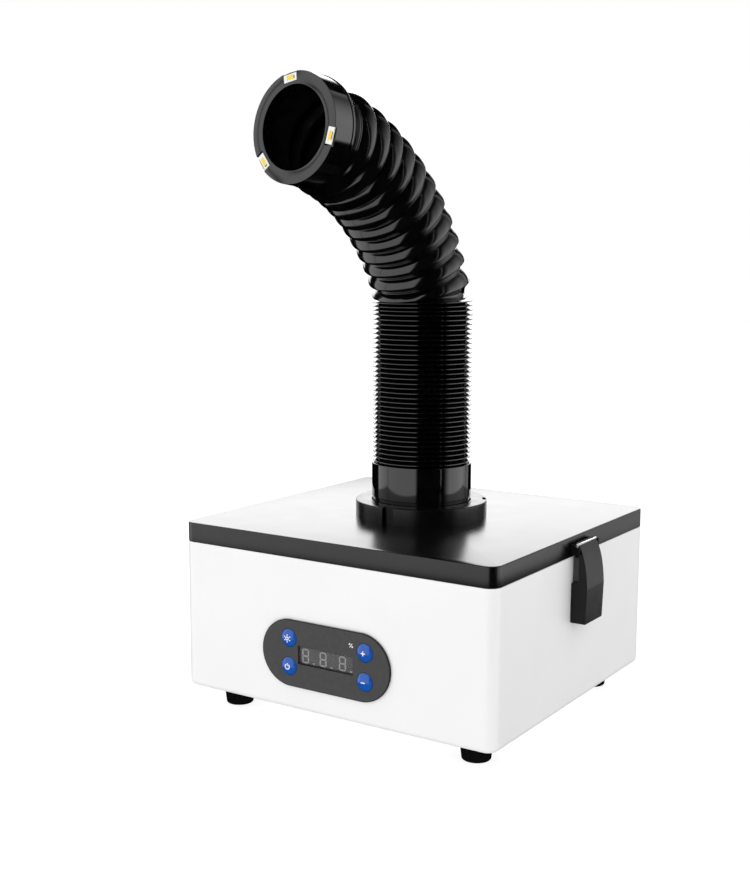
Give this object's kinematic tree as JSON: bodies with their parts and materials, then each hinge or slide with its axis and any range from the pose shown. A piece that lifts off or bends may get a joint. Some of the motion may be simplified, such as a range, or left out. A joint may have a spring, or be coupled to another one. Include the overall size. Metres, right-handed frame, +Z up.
{
  "type": "solder fume extractor",
  "caption": "Bench fume extractor: white filter box with a latched glossy black lid, front control panel and a bendable corrugated suction hose with a lamp-ring nozzle.",
  "frame": {"origin": "the middle of the box's flat underside; the feet reach 17 mm below it", "axes": "+Z up along the upright hose, -Y towards the control panel and the nozzle, +X towards the right-hand latch seen from the front"},
  "size_m": [0.295, 0.2791, 0.4706],
  "materials": {
    "white_shell": "smooth satin white",
    "black_gloss": "polished black",
    "black_hose": "semi-gloss black, flexible",
    "black_rubber": "matt rubber",
    "panel_grey": "fine-textured dark grey",
    "window_smoke": "smoked clear, smooth",
    "button_blue": "moulded blue, semi-gloss",
    "led_white": "white lamp package with yellow phosphor",
    "steel": "bright plated",
    "brass": "plated contact",
    "board_green": "solder-masked board",
    "inner_plastic": "moulded, unpolished",
    "filter_white": "pleated non-woven",
    "filter_carbon": "open foam with carbon granules"
  },
  "bodies": {
    "base": {"body_shell": "white_shell", "foot_front_left": "black_rubber", "foot_front_right": "black_rubber", "foot_rear_left": "black_rubber", "foot_rear_right": "black_rubber", "foot_screw_front_left": "steel", "foot_screw_front_right": "steel", "foot_screw_rear_left": "steel", "foot_screw_rear_right": "steel", "control_panel": "panel_grey", "display_window": "window_smoke", "display_module": "inner_plastic", "control_board": "board_green", "blower_housing": "inner_plastic", "fan_motor": "steel", "filter_shelf": "inner_plastic", "carbon_filter": "filter_carbon", "hepa_filter": "filter_white", "prefilter": "filter_white", "exhaust_grille": "black_gloss", "power_inlet": "black_gloss", "inlet_pin_live": "brass", "inlet_pin_neutral": "brass", "inlet_pin_earth": "brass", "power_supply": "inner_plastic", "latch_catch_right": "panel_grey", "latch_catch_left": "panel_grey"},
    "lid": {"lid": "black_gloss", "lid_seal": "black_rubber", "collar_ring": "black_gloss", "latch_bracket_right": "black_gloss", "latch_bracket_left": "black_gloss", "latch_pin_right": "steel", "latch_pin_left": "steel"},
    "lever_right": {"latch_lever_right": "black_gloss"},
    "lever_left": {"latch_lever_left": "black_gloss"},
    "hose_base": {"hose_cuff": "black_gloss", "hose_packed": "black_hose"},
    "hose_top": {"hose_top_ring": "black_hose"},
    "hose_01": {"hose_ring_01": "black_hose"},
    "hose_02": {"hose_ring_02": "black_hose"},
    "hose_03": {"hose_ring_03": "black_hose"},
    "hose_04": {"hose_ring_04": "black_hose"},
    "hose_05": {"hose_ring_05": "black_hose"},
    "hose_06": {"hose_ring_06": "black_hose"},
    "hose_07": {"hose_ring_07": "black_hose"},
    "hose_08": {"hose_ring_08": "black_hose"},
    "hose_09": {"hose_ring_09": "black_hose"},
    "hose_10": {"hose_ring_10": "black_hose"},
    "hose_11": {"hose_ring_11": "black_hose"},
    "nozzle": {"nozzle_ring": "black_gloss", "nozzle_led_board": "board_green", "nozzle_led_1": "led_white", "nozzle_led_2": "led_white", "nozzle_led_3": "led_white"},
    "button_light": {"button_light": "button_blue"},
    "button_power": {"button_power": "button_blue"},
    "button_plus": {"button_plus": "button_blue"},
    "button_minus": {"button_minus": "button_blue"},
    "impeller": {"impeller": "inner_plastic"}
  },
  "joints": [
    {"name": "lid_lift", "type": "slide", "parent": "base", "child": "lid", "axis": [0, 0, 1], "range_m": [0, 0.06]},
    {"name": "latch_right_swing", "type": "hinge", "parent": "lid", "child": "lever_right", "pos_m": [0.1395, 0.0043, 0.1227], "axis": [0, -1, 0], "range_deg": [0, 110]},
    {"name": "latch_left_swing", "type": "hinge", "parent": "lid", "child": "lever_left", "pos_m": [-0.1395, 0.0043, 0.1227], "axis": [0, 1, 0], "range_deg": [0, 110]},
    {"name": "hose_swivel", "type": "hinge", "parent": "lid", "child": "hose_base", "pos_m": [0, 0, 0.1355], "axis": [0, 0, 1], "range_deg": [-170, 170]},
    {"name": "hose_extend", "type": "slide", "parent": "hose_base", "child": "hose_top", "axis": [0, 0, 1], "range_m": [0, 0.12], "deforming": ["hose_packed"]},
    {"name": "hose_bend", "type": "hinge", "parent": "hose_top", "child": "hose_01", "pos_m": [-0.00013, -0.00118, 0.29983], "axis": [0.9942, -0.108, 0], "range_deg": [-16.62, 6.65]},
    {"name": "hose_bend_02", "type": "hinge", "parent": "hose_01", "child": "hose_02", "pos_m": [-0.00058, -0.00538, 0.31398], "axis": [0.9942, -0.108, 0], "range_deg": [-8.85, 3.55]},
    {"name": "hose_bend_03", "type": "hinge", "parent": "hose_02", "child": "hose_03", "pos_m": [-0.00127, -0.0117, 0.32734], "axis": [0.9942, -0.108, 0], "range_deg": [-5.07, 2.04]},
    {"name": "hose_bend_04", "type": "hinge", "parent": "hose_03", "child": "hose_04", "pos_m": [-0.00208, -0.01916, 0.34009], "axis": [0.9942, -0.108, 0], "range_deg": [-5.07, 2.04]},
    {"name": "hose_bend_05", "type": "hinge", "parent": "hose_04", "child": "hose_05", "pos_m": [-0.00301, -0.02771, 0.35213], "axis": [0.9942, -0.108, 0], "range_deg": [-5.07, 2.04]},
    {"name": "hose_bend_06", "type": "hinge", "parent": "hose_05", "child": "hose_06", "pos_m": [-0.00405, -0.03728, 0.36337], "axis": [0.9942, -0.108, 0], "range_deg": [-5.07, 2.04]},
    {"name": "hose_bend_07", "type": "hinge", "parent": "hose_06", "child": "hose_07", "pos_m": [-0.00519, -0.0478, 0.37371], "axis": [0.9942, -0.108, 0], "range_deg": [-5.07, 2.04]},
    {"name": "hose_bend_08", "type": "hinge", "parent": "hose_07", "child": "hose_08", "pos_m": [-0.00643, -0.05917, 0.38309], "axis": [0.9942, -0.108, 0], "range_deg": [-5.07, 2.04]},
    {"name": "hose_bend_09", "type": "hinge", "parent": "hose_08", "child": "hose_09", "pos_m": [-0.00775, -0.07133, 0.39142], "axis": [0.9942, -0.108, 0], "range_deg": [-5.07, 2.04]},
    {"name": "hose_bend_10", "type": "hinge", "parent": "hose_09", "child": "hose_10", "pos_m": [-0.00914, -0.08417, 0.39864], "axis": [0.9942, -0.108, 0], "range_deg": [-5.07, 2.04]},
    {"name": "hose_bend_11", "type": "hinge", "parent": "hose_10", "child": "hose_11", "pos_m": [-0.0106, -0.09759, 0.4047], "axis": [0.9942, -0.108, 0], "range_deg": [-5.07, 2.04]},
    {"name": "hose_bend_12", "type": "hinge", "parent": "hose_11", "child": "nozzle", "pos_m": [-0.01211, -0.11148, 0.40955], "axis": [0.9942, -0.108, 0], "range_deg": [-13.9, 5.57]},
    {"name": "press_light", "type": "slide", "parent": "base", "child": "button_light", "axis": [0, 1, 0], "range_m": [0, 0.001], "stiffness_N_per_m": 400},
    {"name": "press_power", "type": "slide", "parent": "base", "child": "button_power", "axis": [0, 1, 0], "range_m": [0, 0.001], "stiffness_N_per_m": 400},
    {"name": "press_plus", "type": "slide", "parent": "base", "child": "button_plus", "axis": [0, 1, 0], "range_m": [0, 0.001], "stiffness_N_per_m": 400},
    {"name": "press_minus", "type": "slide", "parent": "base", "child": "button_minus", "axis": [0, 1, 0], "range_m": [0, 0.001], "stiffness_N_per_m": 400},
    {"name": "impeller_spin", "type": "hinge", "parent": "base", "child": "impeller", "pos_m": [0, 0.005, 0.02], "axis": [0, 0, 1], "continuous": true}
  ],
  "couplings": [
    {"joint": "hose_bend_02", "follows": "hose_bend", "ratio": 0.53142},
    {"joint": "hose_bend_03", "follows": "hose_bend", "ratio": 0.30378},
    {"joint": "hose_bend_04", "follows": "hose_bend", "ratio": 0.30378},
    {"joint": "hose_bend_05", "follows": "hose_bend", "ratio": 0.30378},
    {"joint": "hose_bend_06", "follows": "hose_bend", "ratio": 0.30378},
    {"joint": "hose_bend_07", "follows": "hose_bend", "ratio": 0.30378},
    {"joint": "hose_bend_08", "follows": "hose_bend", "ratio": 0.30378},
    {"joint": "hose_bend_09", "follows": "hose_bend", "ratio": 0.30378},
    {"joint": "hose_bend_10", "follows": "hose_bend", "ratio": 0.30378},
    {"joint": "hose_bend_11", "follows": "hose_bend", "ratio": 0.30378},
    {"joint": "hose_bend_12", "follows": "hose_bend", "ratio": 0.83539}
  ]
}
